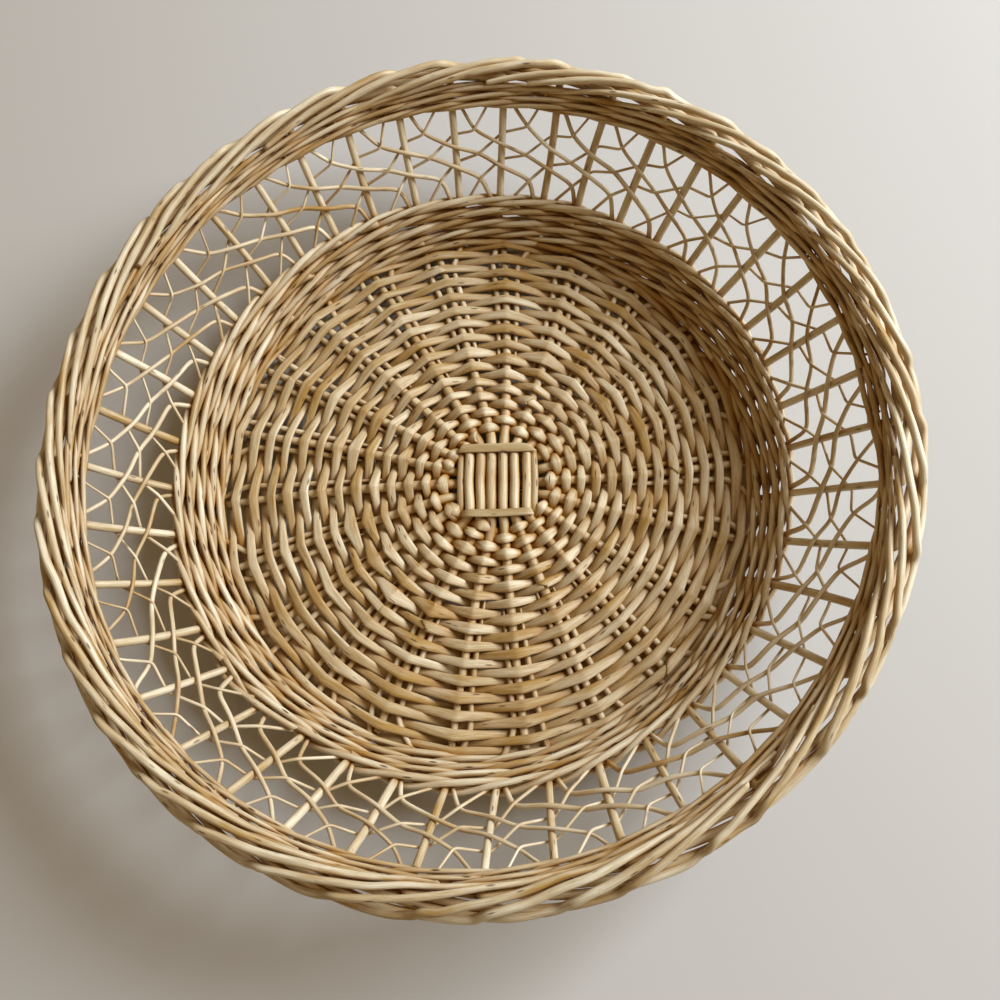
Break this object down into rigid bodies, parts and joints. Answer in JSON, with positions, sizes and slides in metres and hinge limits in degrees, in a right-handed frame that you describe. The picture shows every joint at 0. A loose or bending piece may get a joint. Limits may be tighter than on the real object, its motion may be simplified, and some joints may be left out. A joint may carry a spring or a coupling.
{
  "type": "wall basket",
  "caption": "Round shallow basket of peeled willow with a woven base, a low waled foot, an openwork laced wall and a rolled border.",
  "frame": {"origin": "on the ground plane under the middle of the basket, which stands on its base", "axes": "+Z up out of the bowl; +X and +Y across the rim, +Y being the side that hangs uppermost; +X to the right in the picture and +Y up in it"},
  "size_m": [0.448, 0.4486, 0.0877],
  "materials": {
    "base_stick": "peeled willow, pale cream, satin",
    "base_weaver": "peeled willow, buff tan, creased over the sticks, satin",
    "binding": "split willow skein, greenish tan, satin",
    "stake": "peeled willow, cream to golden, satin",
    "wale": "peeled willow, golden tan with darker knots, satin",
    "lace": "thin peeled willow, cream to tan, satin"
  },
  "bodies": {
    "root": {"base_stick_upper_1": "base_stick", "base_stick_upper_2": "base_stick", "base_stick_upper_3": "base_stick", "base_stick_upper_4": "base_stick", "base_stick_upper_5": "base_stick", "base_stick_upper_6": "base_stick", "base_stick_lower_1": "base_stick", "base_stick_lower_2": "base_stick", "base_stick_lower_3": "base_stick", "base_stick_lower_4": "base_stick", "base_stick_lower_5": "base_stick", "slath_binding": "binding", "base_weaver_a": "base_weaver", "base_weaver_b": "base_weaver", "stake_01": "stake", "stake_02": "stake", "stake_03": "stake", "stake_04": "stake", "stake_05": "stake", "stake_06": "stake", "stake_07": "stake", "stake_08": "stake", "stake_09": "stake", "stake_10": "stake", "stake_11": "stake", "stake_12": "stake", "stake_13": "stake", "stake_14": "stake", "stake_15": "stake", "stake_16": "stake", "stake_17": "stake", "stake_18": "stake", "stake_19": "stake", "stake_20": "stake", "stake_21": "stake", "stake_22": "stake", "stake_23": "stake", "stake_24": "stake", "stake_25": "stake", "stake_26": "stake", "stake_27": "stake", "stake_28": "stake", "stake_29": "stake", "stake_30": "stake", "stake_31": "stake", "stake_32": "stake", "stake_33": "stake", "stake_34": "stake", "stake_35": "stake", "stake_36": "stake", "stake_37": "stake", "stake_38": "stake", "stake_39": "stake", "stake_40": "stake", "stake_41": "stake", "foot_wale": "wale", "top_wale": "wale", "lace_rods": "lace"}
  },
  "joints": []
}
